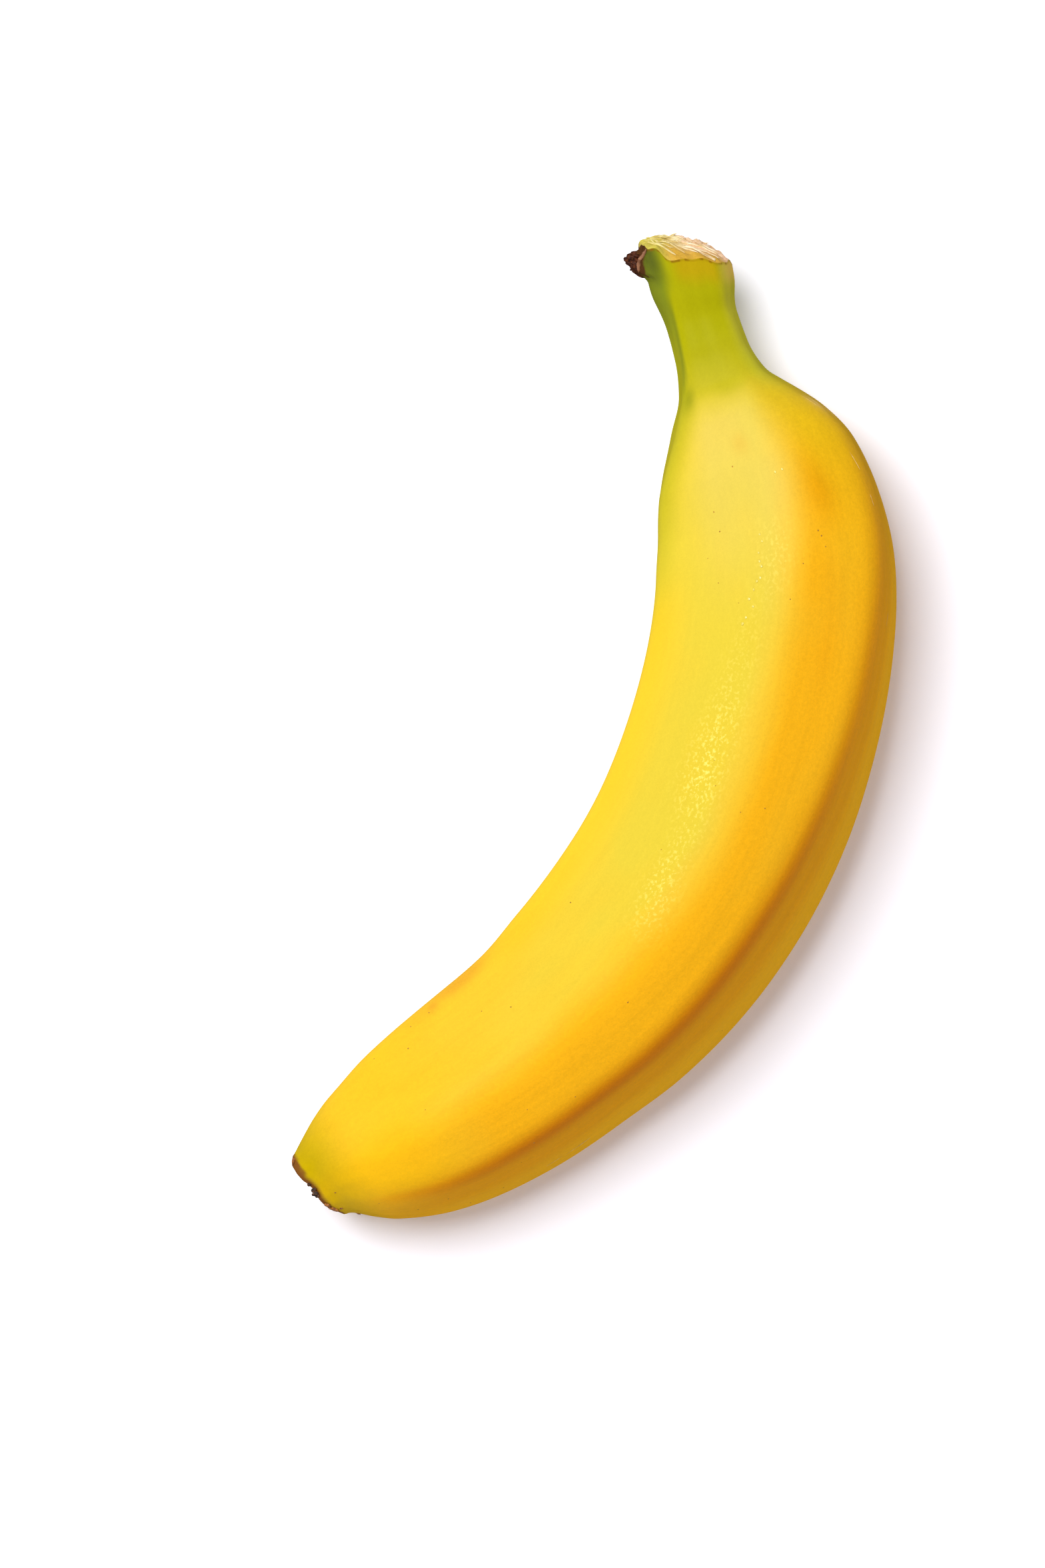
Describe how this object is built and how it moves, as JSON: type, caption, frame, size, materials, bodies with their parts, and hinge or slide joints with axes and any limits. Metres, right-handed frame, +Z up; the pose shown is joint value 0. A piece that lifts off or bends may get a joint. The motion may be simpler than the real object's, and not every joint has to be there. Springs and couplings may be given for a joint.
{
  "type": "banana",
  "caption": "Whole ripe banana in its peel, lying on its side: a bent, ridged fruit with a green stalk torn from the bunch and a dry scar at the blossom end.",
  "frame": {"origin": "on the surface that the fruit lies on, under the middle of its box", "axes": "+Z up, +Y towards the stalk along the longest side of the box, +X to the outside of the bend at the neck"},
  "size_m": [0.0956, 0.1548, 0.0371],
  "materials": {
    "peel": "satin, waxy ripe yellow skin with fine lengthwise streaks"
  },
  "bodies": {
    "root": {"banana": "peel"}
  },
  "joints": []
}
